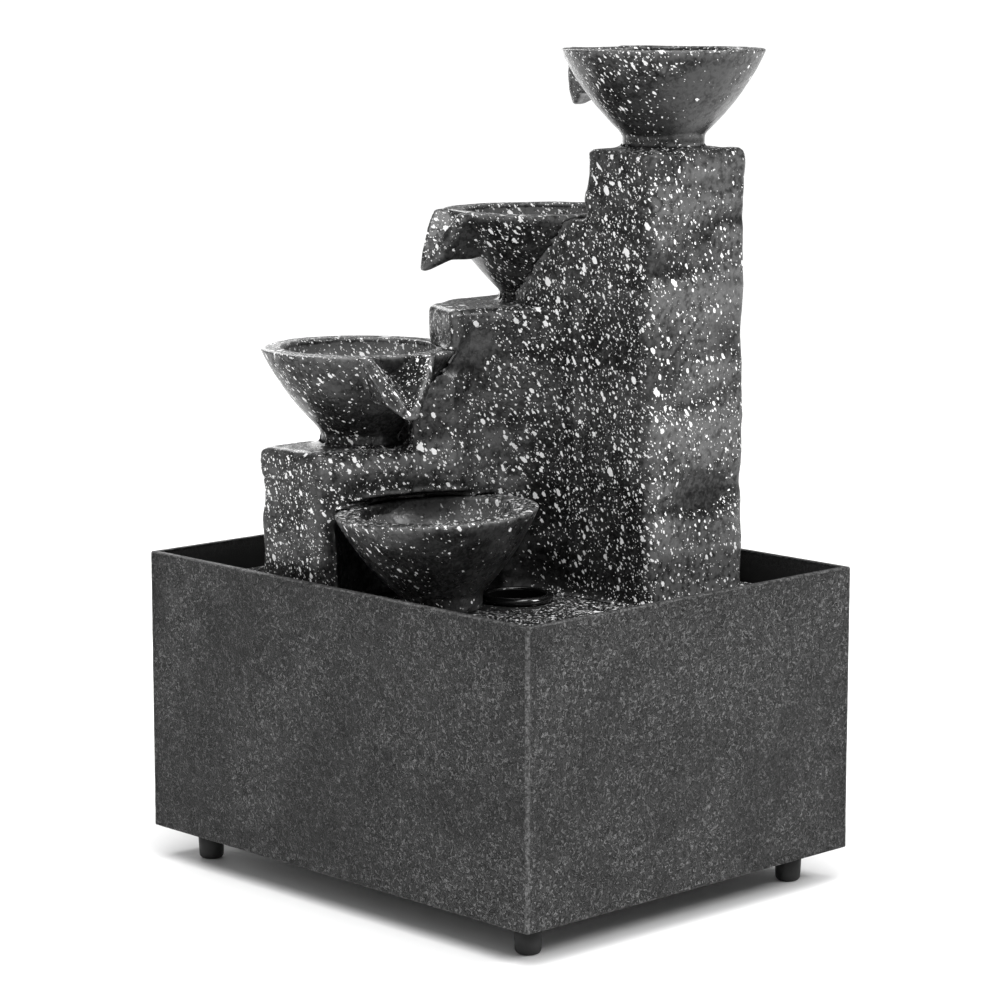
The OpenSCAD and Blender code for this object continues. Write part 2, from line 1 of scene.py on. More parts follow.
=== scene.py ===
"""Looks for the tabletop water fountain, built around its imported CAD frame.

The towers, deck and bowls are cast again from the CAD nodes as level sets, softened as lacquered
resin castings are, and given wavy hand-worked faces. The basin is lofted with an embossed slate
relief. Every carried-over node gets a procedural material. All sizes are in metres.
"""

import itertools
import json
import math

import bmesh
import bpy
import numpy as np
import openvdb
from mathutils import Matrix, Vector
from mathutils.bvhtree import BVHTree


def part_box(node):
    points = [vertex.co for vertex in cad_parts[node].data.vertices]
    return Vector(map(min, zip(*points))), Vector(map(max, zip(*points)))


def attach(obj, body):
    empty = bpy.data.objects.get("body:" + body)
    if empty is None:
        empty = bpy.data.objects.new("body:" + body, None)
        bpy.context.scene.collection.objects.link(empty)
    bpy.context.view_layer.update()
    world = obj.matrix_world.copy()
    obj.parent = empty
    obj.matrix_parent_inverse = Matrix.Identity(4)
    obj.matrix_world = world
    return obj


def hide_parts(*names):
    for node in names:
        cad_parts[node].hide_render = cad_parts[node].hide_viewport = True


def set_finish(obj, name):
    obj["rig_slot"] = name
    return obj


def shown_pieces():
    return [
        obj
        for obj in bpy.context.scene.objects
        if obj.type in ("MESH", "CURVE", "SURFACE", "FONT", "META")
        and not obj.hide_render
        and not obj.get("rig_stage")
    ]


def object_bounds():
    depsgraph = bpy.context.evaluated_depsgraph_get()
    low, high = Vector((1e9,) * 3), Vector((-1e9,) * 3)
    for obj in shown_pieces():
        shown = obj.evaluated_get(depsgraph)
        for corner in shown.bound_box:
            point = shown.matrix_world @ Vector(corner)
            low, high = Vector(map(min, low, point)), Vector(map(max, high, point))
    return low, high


MM = 0.001
UP = Vector((0, 0, 1))

BASIN_WALL = 3 * MM
BASIN_CORNER = 1.1 * MM
BASIN_INNER_CORNER = 1.5 * MM
BASIN_PITCH = 1.75 * MM
CORNER_STEPS = 6
LEDGE = 12 * MM
LEDGE_ROOT = 1 * MM
DRAIN_WALL = 1.5 * MM

# voxel sizes of the level sets
ROCK_VOXEL = 0.85 * MM
DECK_VOXEL = 0.8 * MM
BOWL_VOXEL = 0.6 * MM

# solved on the basin's corners, so that the view is the photograph's
CAMERA_PLACE = (0.8048, -0.7691, 0.3079)
CAMERA_GAZE = (-0.713, 0.683, -0.160)
CAMERA_LENS = 120.84

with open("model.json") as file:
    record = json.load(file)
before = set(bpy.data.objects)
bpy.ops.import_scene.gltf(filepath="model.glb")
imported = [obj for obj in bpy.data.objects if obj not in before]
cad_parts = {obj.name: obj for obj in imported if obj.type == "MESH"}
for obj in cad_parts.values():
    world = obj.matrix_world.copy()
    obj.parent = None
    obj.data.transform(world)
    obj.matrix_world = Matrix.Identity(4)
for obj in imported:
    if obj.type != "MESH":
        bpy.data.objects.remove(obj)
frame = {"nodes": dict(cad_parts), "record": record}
cad_low, cad_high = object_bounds()

BODY_OF = {
    node: body
    for body, nodes in frame["record"]["behaviour"]["bodies"].items()
    for node in nodes
}
SLOT_OF = {part["node"]: part["material_slot"] for part in frame["record"]["subparts"]}

TOWERS = ("low_tower", "middle_tower", "pillar")
BOWLS = ("top_bowl", "second_bowl", "third_bowl", "lower_bowl")
DRIP_RADII = (1.5 * MM, 1.5 * MM, 2.2 * MM)
# heading in degrees, rise over run, and share of the white spatter thrown from there
SPRAY_THROWS = (
    (-105, 0.2, 1.4), (-95, 0.7, 1.4), (-70, 1.6, 1.0), (-60, 4.0, 1.2), (-15, 0.8, 0.35),
    (40, 0.8, 0.25), (100, 0.6, 0.6), (180, 0.5, 0.9),
)
SPRAY_REACH = 0.12
SPRAY_LIFT = 0.9 * MM
SPRAY_LIMIT = 1.8
# how much of the spatter a piece gets, and then how much of that, in a bowl's hollow and out of it
SPRAY_SHARE = {
    "rockwork": 1.1, "cast_top_bowl": 0.65, "cast_second_bowl": 0.7, "cast_third_bowl": 0.6,
    "cast_lower_bowl": 0.45,
}
SPRAY_IN_HOLLOW = 1.25
SPRAY_ELSEWHERE = 0.5
# how much lighter the lacquer is painted in a bowl's hollow (wear, and painted overhead light), and on
# the faces towards the right (painted sheen of the right-hand light)
HOLLOW_WEAR_AND_LIGHT = 1.2
PAINTED_SIDE_SHEEN = 0.56
HOLLOW_RADIUS = 26 * MM
FEET = ("foot_front_left", "foot_front_right", "foot_rear_left", "foot_rear_right")


# ---------- numbers over points ----------


def value_noise(points, size, seed):
    """Smooth noise from -1 to 1 at each point, with features about size across."""
    place = points / size + seed * 17.31
    cell = np.floor(place).astype(np.int64)
    share = place - cell
    share = share**3 * (share * (share * 6 - 15) + 10)
    total = np.zeros(len(points))
    for corner in itertools.product((0, 1), repeat=3):
        key = ((cell + corner) * (73856093, 19349663, 83492791)).sum(axis=1)
        key = (key ^ (key >> 13)) * 1274126177
        height = ((key ^ (key >> 16)) & 0xFFFF) / 32767.5 - 1
        total += height * np.prod(np.where(corner, share, 1 - share), axis=1)
    return total


def layered_noise(points, size, seed, layers=3):
    """Noise with finer and fainter layers on top."""
    return sum(value_noise(points, size / 2**i, seed + i) / 2**i for i in range(layers))


def blurred(field, spread):
    """The field smoothed with a Gaussian of that spread, in voxels."""
    reach = int(math.ceil(spread * 2.5))
    weights = np.exp(-0.5 * (np.arange(-reach, reach + 1) / spread) ** 2)
    weights /= weights.sum()
    for axis in range(3):
        padded = np.pad(field, [(reach, reach) if a == axis else (0, 0) for a in range(3)], "edge")
        count = field.shape[axis]
        field = sum(w * np.take(padded, range(i, i + count), axis) for i, w in enumerate(weights))
    return field.astype(np.float32)


def sampled(field, places):
    """The field's value at each place, both in voxels."""
    places = np.clip(places, 0, np.array(field.shape) - 1.001)
    cell = places.astype(int)
    share = places - cell
    total = np.zeros(len(places))
    for corner in itertools.product((0, 1), repeat=3):
        weight = np.prod(np.where(corner, share, 1 - share), axis=1)
        total += weight * field[tuple((cell + corner).T)]
    return total


# ---------- meshes ----------


def new_piece(name, points, faces, body, slot, replaced=()):
    """A smooth mesh piece that rides on a body and stands for CAD nodes."""
    mesh = bpy.data.meshes.new(name)
    mesh.from_pydata([tuple(p) for p in points], [], [tuple(f) for f in faces])
    mesh.validate()
    mesh.update()
    piece = bpy.data.objects.new(name, mesh)
    bpy.context.scene.collection.objects.link(piece)
    piece.data.shade_smooth()
    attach(piece, body)
    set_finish(piece, slot)
    if replaced:
        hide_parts(*replaced)
    return piece


def points_of(piece):
    flat = np.empty(len(piece.data.vertices) * 3, np.float32)
    piece.data.vertices.foreach_get("co", flat)
    return flat.reshape(-1, 3).astype(float)


def normals_of(piece):
    flat = np.empty(len(piece.data.vertices) * 3, np.float32)
    piece.data.vertex_normals.foreach_get("vector", flat)
    return flat.reshape(-1, 3).astype(float)


def move_points(piece, points):
    piece.data.vertices.foreach_set("co", points.astype(np.float32).ravel())
    piece.data.update()


def read_paint(piece, name):
    got = np.zeros(len(piece.data.vertices))
    piece.data.attributes[name].data.foreach_get("value", got)
    return got


def paint(piece, name, values):
    """Keeps one number a vertex for the material to read."""
    layers = piece.data.attributes
    layer = layers.get(name) or layers.new(name, "FLOAT", "POINT")
    layer.data.foreach_set("value", np.asarray(values, np.float32))


class Casting:
    """Signed distances round one or more CAD nodes on a dense grid, in voxels, negative inside."""

    BAND = 6

    def __init__(self, nodes, voxel, pad=4 * MM):
        lows, highs = zip(*(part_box(node) for node in nodes))
        self.voxel = voxel
        self.low = np.min(lows, axis=0) - pad
        self.shape = np.ceil((np.max(highs, axis=0) + pad - self.low) / voxel).astype(int) + 1
        self.field = self.distance(nodes)

    def distance(self, nodes):
        return np.minimum.reduce([self.distance_to(node) for node in nodes])

    def distance_to(self, node):
        mesh = frame["nodes"][node].data
        mesh.calc_loop_triangles()
        corners = np.empty(len(mesh.loop_triangles) * 3, np.int32)
        mesh.loop_triangles.foreach_get("vertices", corners)
        places = (points_of(frame["nodes"][node]) - self.low) / self.voxel
        grid = openvdb.FloatGrid.createLevelSetFromPolygons(
            places.astype(np.float32),
            triangles=corners.reshape(-1, 3).astype(np.uint32),
            transform=openvdb.createLinearTransform(1.0),
            halfWidth=self.BAND,
        )
        field = np.empty(self.shape, np.float32)
        grid.copyToArray(field)
        return field

    def round_node(self, node, margin, over):
        """The part of the grid in an upright cylinder round a node, and a little over it."""
        low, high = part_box(node)
        x, y, z = (
            np.arange(n) * self.voxel + start for n, start in zip(self.shape, self.low)
        )
        radius = max(high.x - low.x, high.y - low.y) / 2 + margin
        out = np.hypot(x[:, None] - (low.x + high.x) / 2, y[None, :] - (low.y + high.y) / 2)
        return (out < radius)[:, :, None] & (z < high.z + over)[None, None, :]

    def soften(self, radius):
        self.field = blurred(self.field, radius / self.voxel)

    def soften_against(self, nodes, radius, reach, crisp):
        """Softens edges outside crisp, and flows into the nodes met without entering them."""
        others = self.distance(nodes)
        near = self.field - reach / self.voxel
        joined = blurred(np.minimum(self.field, others), radius / self.voxel)
        joined = np.where(crisp, np.minimum(joined, self.field), joined)
        self.field = np.maximum.reduce([joined, -others, near])

    def add_ball(self, centre, radii, blend):
        """Adds a soft ellipsoid, such as a drip of lacquer."""
        axes = [np.arange(n) * self.voxel + start for n, start in zip(self.shape, self.low)]
        grids = np.meshgrid(*axes, indexing="ij")
        scaled = sum(((g - c) / r) ** 2 for g, c, r in zip(grids, centre, radii))
        ball = (np.sqrt(scaled) - 1) * min(radii) / self.voxel
        reach = blend / self.voxel
        near = np.maximum(reach - np.abs(self.field - ball), 0) / reach
        self.field = (np.minimum(self.field, ball) - near**2 * reach / 4).astype(np.float32)

    def piece(self, name, body, slot, replaced):
        grid = openvdb.FloatGrid(float(self.BAND))
        grid.copyFromArray(np.ascontiguousarray(self.field, np.float32))
        places, quads = grid.convertToQuads(0.0)
        made = new_piece(
            name, places * self.voxel + self.low, quads, body, slot, replaced
        )
        wide = blurred(self.field, 1.6 * MM / self.voxel)
        paint(made, "edge", sampled(wide, places) * self.voxel / MM)
        return made


def lathe(name, profile, centre, body, slot, replaced=(), steps=72):
    """A turned piece from (radius, height) pairs; it is closed where the profile meets the axis."""
    points, faces = [], []
    rings = []
    for radius, height in profile:
        ring = []
        count = 1 if radius < 1e-6 else steps
        for k in range(count):
            angle = 2 * math.pi * k / steps
            ring.append(len(points))
            points.append((
                centre[0] + radius * math.cos(angle),
                centre[1] + radius * math.sin(angle),
                height,
            ))
        rings.append(ring)
    for low, high in zip(rings, rings[1:]):
        for k in range(steps):
            face = [
                low[k % len(low)], low[(k + 1) % len(low)],
                high[(k + 1) % len(high)], high[k % len(high)],
            ]
            faces.append(list(dict.fromkeys(face)))
    return new_piece(name, points, faces, body, slot, replaced)


# ---------- materials ----------


class Look:
    """A node material being put together. Texture sizes are in millimetres."""

    def __init__(self, name, **sockets):
        self.material = bpy.data.materials.new(name)
        self.material.use_nodes = True
        self.tree = self.material.node_tree
        self.shader = self.tree.nodes["Principled BSDF"]
        for socket, value in sockets.items():
            self.shader.inputs[socket.replace("_", " ")].default_value = value
        scaled = self.add(
            "ShaderNodeVectorMath",
            {0: self.add("ShaderNodeTexCoord").outputs["Object"], "Scale": 1 / MM},
            operation="SCALE",
        )
        self.place = scaled.outputs[0]

    def add(self, kind, sockets=None, **settings):
        node = self.tree.nodes.new(kind)
        for key, value in settings.items():
            setattr(node, key, value)
        for key, value in (sockets or {}).items():
            self.join(value, node.inputs[key])
        return node

    def join(self, value, socket):
        if isinstance(value, bpy.types.NodeSocket):
            self.tree.links.new(value, socket)
        else:
            socket.default_value = value

    def set(self, socket, value):
        self.join(value, self.shader.inputs[socket])

    def painted(self, name):
        return self.add("ShaderNodeAttribute", attribute_name=name).outputs["Fac"]

    def math(self, operation, a, b=0.0):
        return self.add("ShaderNodeMath", {0: a, 1: b}, operation=operation).outputs[0]

    def span(self, value, low, high, to_low=0.0, to_high=1.0):
        """The value moved from low..high to to_low..to_high, smoothly and clamped."""
        return self.add(
            "ShaderNodeMapRange",
            {0: value, 1: low, 2: high, 3: to_low, 4: to_high},
            interpolation_type="SMOOTHSTEP",
        ).outputs[0]

    def mix(self, share, a, b):
        return self.add(
            "ShaderNodeMix", {0: share, 6: a, 7: b}, data_type="RGBA"
        ).outputs[2]

    def stretched(self, along, stretch):
        """Places squeezed so that a pattern comes out stretched along a direction."""
        turn = UP.rotation_difference(Vector(along).normalized()).to_euler()
        return self.add(
            "ShaderNodeMapping",
            {"Vector": self.place, "Rotation": turn, "Scale": (1, 1, stretch)},
            vector_type="TEXTURE",
        ).outputs[0]

    def noise(self, size, detail=2.0, distortion=0.0, place=None, roughness=0.5):
        return self.add(
            "ShaderNodeTexNoise",
            {
                "Vector": place or self.place,
                "Scale": 1 / size,
                "Detail": detail,
                "Roughness": roughness,
                "Distortion": distortion,
            },
        ).outputs["Fac"]

    def bump(self, height, depth):
        """Relief of that depth in millimetres over a height of 0 to 1."""
        bumped = self.add(
            "ShaderNodeBump", {"Height": height, "Strength": 1.0, "Distance": depth * MM}
        )
        self.set("Normal", bumped.outputs[0])


def grey(level, warmth=0.0):
    return (level * (1 + warmth), level, level * (1 - warmth), 1)


def spots(look, pitch, share, small, large, along, stretch, spray, wobble):
    """Paint spots: cells pitch apart, a share of them filled, with radii small to large in mm."""
    place = look.add(
        "ShaderNodeVectorMath",
        {0: look.stretched(along, stretch), 1: wobble},
        operation="ADD",
    ).outputs[0]
    cells = look.add(
        "ShaderNodeTexVoronoi", {"Vector": place, "Scale": 1 / pitch, "Randomness": 1.0}
    )
    picks = look.add("ShaderNodeSeparateColor", {0: cells.outputs["Color"]})
    filled = look.math("LESS_THAN", picks.outputs[0], look.math("MULTIPLY", spray, share))
    biased = look.math("POWER", picks.outputs[1], 2.2)
    radius = look.add(
        "ShaderNodeMapRange", {0: biased, 3: small / pitch, 4: large / pitch}
    ).outputs[0]
    inside = look.math("SUBTRACT", radius, cells.outputs["Distance"])
    return look.math("MULTIPLY", look.span(inside, 0.0, 0.05 / pitch), filled)


def speckled_resin():
    """Black satin lacquer, brushed lighter on its edges and spattered with white paint. Its hollows are
    painted lighter as wear and as overhead light, and its faces towards the right paler as a painted
    sheen.
    """
    look = Look("speckled_resin", IOR=1.5, Coat_Weight=0.08, Coat_Roughness=0.15)
    patchy = look.span(look.noise(26), 0.3, 0.7, 0.65, 1.25)
    spray = look.math("MULTIPLY", look.painted("spray"), patchy)
    swirl = look.add("ShaderNodeTexNoise", {"Vector": look.place, "Scale": 1.1})
    wobble = look.add(
        "ShaderNodeVectorMath", {0: swirl.outputs["Color"], "Scale": 0.9}, operation="SCALE"
    ).outputs[0]
    slant = (0.42, 0.42, -0.8)
    layers = [
        spots(look, 5.2, 0.5, 0.5, 1.25, slant, 1.7, spray, wobble),
        spots(look, 2.3, 0.8, 0.27, 0.75, slant, 1.9, spray, wobble),
        spots(look, 1.3, 0.95, 0.19, 0.46, slant, 1.8, spray, wobble),
        spots(look, 0.85, 0.8, 0.14, 0.28, slant, 1.5, spray, wobble),
    ]
    white = layers[0]
    for layer in layers[1:]:
        white = look.math("MAXIMUM", white, layer)
    streaks = look.noise(9, 4, 0.6, look.stretched((1, 1, 0.1), 3.0))
    cloudy = look.span(look.math("MULTIPLY", streaks, look.noise(30, 2)), 0.14, 0.42)
    brushed = look.span(look.noise(1.7, 4, 0.8), 0.34, 0.66)
    base = look.mix(cloudy, grey(0.004), grey(0.024))
    base = look.mix(look.math("MULTIPLY", brushed, 0.4), base, grey(0.034))
    look.set("Specular IOR Level", look.span(look.math("ADD", brushed, cloudy), 0.2, 1.6, 0.12, 0.5))
    uneven = look.span(look.noise(2.4, 3), 0.3, 0.65, 0.4, 1.3)
    # lighter where the edge attribute is high: worn edges, bowl hollows (wear and painted overhead light)
    # and right-facing faces (painted sheen)
    wear_and_painted_light = look.span(look.math("MULTIPLY", look.painted("edge"), uneven), 0.15, 0.9)
    base = look.mix(wear_and_painted_light, base, grey(0.095))
    look.set("Base Color", look.mix(white, base, grey(0.84)))
    dull = look.math("ADD", look.noise(3.5, 3), white)
    look.set("Roughness", look.span(dull, 0.35, 1.2, 0.27, 0.46))
    fine = look.math("MULTIPLY", look.noise(0.9, 3), 0.35)
    lumps = look.math("ADD", fine, look.noise(5, 2))
    look.bump(look.math("ADD", lumps, look.math("MULTIPLY", white, 0.3)), 0.22)
    return look.material


def slate_shell():
    """Charcoal moulding embossed with a fine hide-like slate grain, lighter at its edges as rubbed wear
    and as a painted edge highlight. Its creases carry painted shade, its crests painted highlights, and
    the inside is painted darker as painted shade.
    """
    look = Look("slate_shell", IOR=1.46, Specular_IOR_Level=0.35)
    vein = look.span(look.noise(34, 4, 0.5, look.stretched((0.72, 0.72, 0.5), 2.2)), 0.34, 0.66)
    strokes = look.noise(1.35, 2.0, 1.0)
    creases = look.span(look.math("ABSOLUTE", look.math("SUBTRACT", strokes, 0.5)), 0.004, 0.06)
    past_crest = look.math("SUBTRACT", 1.0, look.span(strokes, 0.59, 0.63))
    crests = look.math("MULTIPLY", look.span(strokes, 0.54, 0.57), past_crest)
    base = look.mix(vein, grey(0.015), grey(0.031))
    # the creases are painted near black: painted shade in the grain
    base = look.mix(creases, grey(0.002), base)
    # a thin painted highlight along one side of each crest
    crest_highlight = look.math("MULTIPLY", crests, look.span(vein, 0.0, 1.0, 0.55, 1.0))
    base = look.mix(crest_highlight, base, grey(0.15))
    grain = look.math("ADD", creases, look.math("MULTIPLY", strokes, 1.5))
    scratch = look.noise(2.2, 1, 0, look.stretched((0.62, 0.62, 0.34), 14))
    few = look.span(look.noise(19, 1), 0.6, 0.72)
    scuffs = look.math("MULTIPLY", look.span(scratch, 0.7, 0.76), few)
    # edges painted lighter: rubbed wear and a painted edge highlight
    near = look.math("POWER", look.painted("edge"), 6.0)
    edge_wear_and_highlight = look.math("MULTIPLY", near, look.span(look.noise(1.3, 3), 0.35, 0.65, 0.1, 0.9))
    scuffs_and_highlight = look.math("MULTIPLY", look.math("MAXIMUM", scuffs, edge_wear_and_highlight), 0.7)
    base = look.mix(scuffs_and_highlight, base, grey(0.2))
    inside = look.painted("inside")
    # the inside of the basin is painted darker: painted shade
    look.set("Base Color", look.mix(inside, base, grey(0.012)))
    look.set("Roughness", look.span(look.noise(6, 3), 0.3, 0.7, 0.42, 0.56))
    outside = look.math("SUBTRACT", 1.0, inside)
    height = look.math("ADD", grain, look.math("MULTIPLY", look.noise(4, 3), 0.9))
    look.bump(look.math("MULTIPLY", height, outside), 1.0)
    return look.material


def moulded(name, level, roughness, size=1.2, depth=0.03, warmth=0.0, **sockets):
    """Moulded plastic or rubber with a slight texture and uneven gloss."""
    look = Look(name, **sockets)
    tone = look.span(look.noise(size * 9, 3), 0.3, 0.7)
    look.set("Base Color", look.mix(tone, grey(level * 0.8, warmth), grey(level * 1.2, warmth)))
    look.set("Roughness", look.span(look.noise(size * 4, 3), 0.3, 0.7, roughness * 0.85, roughness * 1.2))
    look.bump(look.noise(size, 3), depth)
    return look.material


def coloured(name, dark, light, roughness, size, depth=0.04, along=None, **sockets):
    """A material that wanders between two colours, streaked along a direction if one is given."""
    look = Look(name, **sockets)
    place = look.stretched(along, 14) if along else look.place
    grain = look.noise(size, 3, 0.2, place)
    look.set("Base Color", look.mix(look.span(grain, 0.3, 0.7), dark, light))
    look.set("Roughness", look.span(grain, 0.2, 0.8, roughness * 0.8, roughness * 1.25))
    look.bump(grain, depth)
    return look.material


def ribbed(name, dark, light, roughness, pitch, axis, depth, **sockets):
    """Wire turns or laminations: fine ridges that repeat along one axis."""
    look = Look(name, **sockets)
    parts = look.add("ShaderNodeSeparateXYZ", {0: look.place})
    wave = look.math("SINE", look.math("MULTIPLY", parts.outputs[axis], 2 * math.pi / pitch))
    ridge = look.span(wave, -1.0, 1.0)
    # darker in the grooves and lighter on the ridges: painted shade and highlight
    painted_ridge_shade = look.math("MULTIPLY", ridge, look.span(look.noise(1.5, 2), 0.3, 0.7, 0.75, 1.0))
    look.set("Base Color", look.mix(painted_ridge_shade, dark, light))
    look.set("Roughness", look.span(look.noise(2, 2), 0.3, 0.7, roughness * 0.8, roughness * 1.2))
    look.bump(ridge, depth)
    return look.material


def sponge():
    """Open-cell foam: a dark sheet full of pores."""
    look = Look("sponge", Roughness=0.95)
    cells = look.add("ShaderNodeTexVoronoi", {"Vector": look.place, "Scale": 1 / 1.1})
    pore = look.span(cells.outputs["Distance"], 0.15, 0.5)
    # the pores are painted darker: painted shade in the holes
    look.set("Base Color", look.mix(pore, grey(0.012), grey(0.085)))
    look.bump(pore, 0.5)
    return look.material


def build_materials():
    return {
        "slate_look_shell": slate_shell(),
        "speckled_resin": speckled_resin(),
        "black_rubber": moulded("black_rubber", 0.012, 0.55),
        "gloss_black_plastic": moulded("gloss_black_plastic", 0.006, 0.1, 3.0, 0.015, Coat_Weight=0.6),
        "clear_hose": coloured("clear_hose", (0.62, 0.68, 0.7, 1), (0.8, 0.84, 0.85, 1), 0.14, 8,
                               Transmission_Weight=0.75, IOR=1.44),
        "pump_plastic": moulded("pump_plastic", 0.02, 0.42, 0.8, 0.05),
        "epoxy": moulded("epoxy", 0.014, 0.12, 7.0, 0.2),
        "core_steel": ribbed("core_steel", grey(0.2), grey(0.5), 0.36, 0.5, 1, 0.05, Metallic=1.0),
        "nylon": moulded("nylon", 0.66, 0.4, 2.0, 0.02, 0.06, Subsurface_Weight=0.1),
        "copper_wire": ribbed("copper_wire", (0.25, 0.07, 0.02, 1), (0.85, 0.38, 0.16, 1), 0.24, 0.36, 0,
                              0.1, Metallic=0.85),
        "red_seal": coloured("red_seal", (0.22, 0.02, 0.012, 1), (0.36, 0.04, 0.02, 1), 0.5, 2),
        "ferrite": coloured("ferrite", grey(0.05), grey(0.12), 0.5, 0.9, 0.06),
        "shaft_ceramic": coloured("shaft_ceramic", grey(0.75, 0.02), grey(0.86, 0.01), 0.18, 1.5, 0.01),
        "sponge": sponge(),
        "cup_rubber": coloured("cup_rubber", grey(0.2), grey(0.32), 0.3, 3, 0.02,
                               Transmission_Weight=0.3),
    }


# ---------- the rockwork ----------


def foot_centre(node):
    """The middle of a bowl's foot, from the CAD node's lowest points."""
    points = points_of(frame["nodes"][node])
    low = points[points[:, 2] < points[:, 2].min() + 0.5 * MM]
    return (low.min(axis=0) + low.max(axis=0)) / 2


def ripple(piece, depth):
    """Works the faces into shallow level ripples and dents; returns each point's ripple height."""
    points, normals = points_of(piece), normals_of(piece)
    upright = 1 - np.abs(normals[:, 2])
    flat = points * (0.45, 0.32, 1.0)
    side_on = np.abs(normals[:, 0])
    waves = layered_noise(flat, 11 * MM, 3, 2) * upright * (0.7 + 1.8 * side_on)
    dents = layered_noise(points, 7 * MM, 8, 3) * 0.35
    grit = value_noise(points, 1.8 * MM, 5) * 0.08
    move_points(piece, points + normals * ((waves + dents + grit) * depth)[:, None])
    return np.clip(waves, -1, 1)


def cast_rockwork():
    """The three towers, which are one casting with no seams between them."""
    casting = Casting(TOWERS, ROCK_VOXEL)
    niche = casting.round_node("lower_bowl", 0.5 * MM, 5 * MM)
    casting.soften_against(BOWLS + ("deck_plate",), 1.5 * MM, 3.5 * MM, niche)
    rockwork = casting.piece("rockwork", "cascade", "speckled_resin", TOWERS)
    crests = ripple(rockwork, 0.5 * MM)
    # faces towards the right, and the ripple crests on them, are painted paler: a painted sheen of the
    # key light, kept in the edge attribute with the edge wear
    rightward = np.clip((normals_of(rockwork)[:, 0] - 0.5) * 3, 0, 1)
    painted_sheen = PAINTED_SIDE_SHEEN * rightward * (1 + 0.6 * crests)
    paint(rockwork, "edge", np.maximum(read_paint(rockwork, "edge"), painted_sheen))
    return rockwork


def cast_deck():
    casting = Casting(("deck_plate",), DECK_VOXEL)
    casting.soften(0.6 * MM)
    deck = casting.piece("cast_deck", "cascade", "speckled_resin", ("deck_plate",))
    ripple(deck, 0.12 * MM)
    return deck


def cast_bowl(node, drip_heading=None):
    casting = Casting((node,), BOWL_VOXEL)
    casting.soften(0.5 * MM)
    low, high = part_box(node)
    if drip_heading is not None:
        foot = foot_centre(node)
        reach = (min(high.x - low.x, high.y - low.y) / 2) * 0.91
        angle = math.radians(drip_heading)
        drip = foot + (reach * math.cos(angle), reach * math.sin(angle), 0)
        drip[2] = high.z - 5.2 * MM
        casting.add_ball(drip, DRIP_RADII, DRIP_RADII[0])
    piece = casting.piece("cast_" + node, BODY_OF[node], SLOT_OF[node], (node,))
    points, normals = points_of(piece), normals_of(piece)
    wander = layered_noise(points, 13 * MM, 21, 3) * 0.16 * MM
    points += normals * (wander - 0.12 * MM)[:, None]
    points[:, 2] = np.minimum(points[:, 2], high.z)
    move_points(piece, points)
    lighten_hollow(piece, node)
    return piece


def lighten_hollow(piece, node):
    """Paints the up-facing hollow of a bowl as light as its worn edges: wear where the water runs, and
    painted overhead light.
    """
    points, normals = points_of(piece), normals_of(piece)
    low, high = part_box(node)
    foot = foot_centre(node)
    out = np.hypot(points[:, 0] - foot[0], points[:, 1] - foot[1])
    sunk = (points[:, 2] < high.z - 1.5 * MM) & (normals[:, 2] > 0.05) & (out < HOLLOW_RADIUS)
    edge = read_paint(piece, "edge")
    paint(piece, "edge", np.where(sunk, np.maximum(edge, HOLLOW_WEAR_AND_LIGHT), edge))


def spray(pieces):
    """Works out how much of the white spatter reaches each point, thrown from above all round."""
    corners, triangles = [], []
    for node in TOWERS + BOWLS + ("deck_plate",):
        mesh = frame["nodes"][node].data
        start = len(corners)
        corners += [tuple(v.co) for v in mesh.vertices]
        triangles += [tuple(start + i for i in t.vertices) for t in mesh.loop_triangles]
    shade = BVHTree.FromPolygons(corners, triangles)
    throws = []
    for heading, rise, weight in SPRAY_THROWS:
        angle = math.radians(heading)
        throws.append((Vector((math.cos(angle), math.sin(angle), rise)).normalized(), weight))
    for piece in pieces:
        points, normals = points_of(piece), normals_of(piece)
        got = np.zeros(len(points))
        for towards, weight in throws:
            facing = normals @ np.array(towards)
            for i in np.nonzero(facing > 0.02)[0]:
                start = Vector(points[i] + normals[i] * SPRAY_LIFT)
                if shade.ray_cast(start, towards, SPRAY_REACH)[0] is None:
                    got[i] += weight * min(1.0, facing[i] * 2)
        share = SPRAY_SHARE.get(piece.name, 1.0) * (1 + 0.8 * np.clip(normals[:, 2], 0, 1))
        hollow = read_paint(piece, "edge") >= HOLLOW_WEAR_AND_LIGHT
        kept = np.where(hollow, SPRAY_IN_HOLLOW, SPRAY_ELSEWHERE)
        paint(piece, "spray", np.clip(got * share * kept, 0, SPRAY_LIMIT))


# ---------- the basin ----------


def rounded_ring(half_x, half_y, radius, steps):
    """Points round a rectangle with round corners, and how near each is to a corner, 0 to 1."""
    ring, near = [], []
    for k, (sx, sy) in enumerate(((1, -1), (1, 1), (-1, 1), (-1, -1))):
        centre = Vector((sx * (half_x - radius), sy * (half_y - radius)))
        start = math.radians(-90 + 90 * k)
        for i in range(CORNER_STEPS + 1):
            angle = start + math.radians(90) * i / CORNER_STEPS
            ring.append(centre + radius * Vector((math.cos(angle), math.sin(angle))))
            near.append(1.0)
        along = 2 * ((half_y if k % 2 == 0 else half_x) - radius)
        step = Vector((-math.sin(start + math.pi / 2), math.cos(start + math.pi / 2)))
        last = ring[-1].copy()
        count = steps[k % 2]
        stops = [0.7 * MM] + [along * i / count for i in range(1, count)] + [along - 0.7 * MM]
        ring += [last + step * stop for stop in stops]
        near += [0.0] * len(stops)
    return ring, near


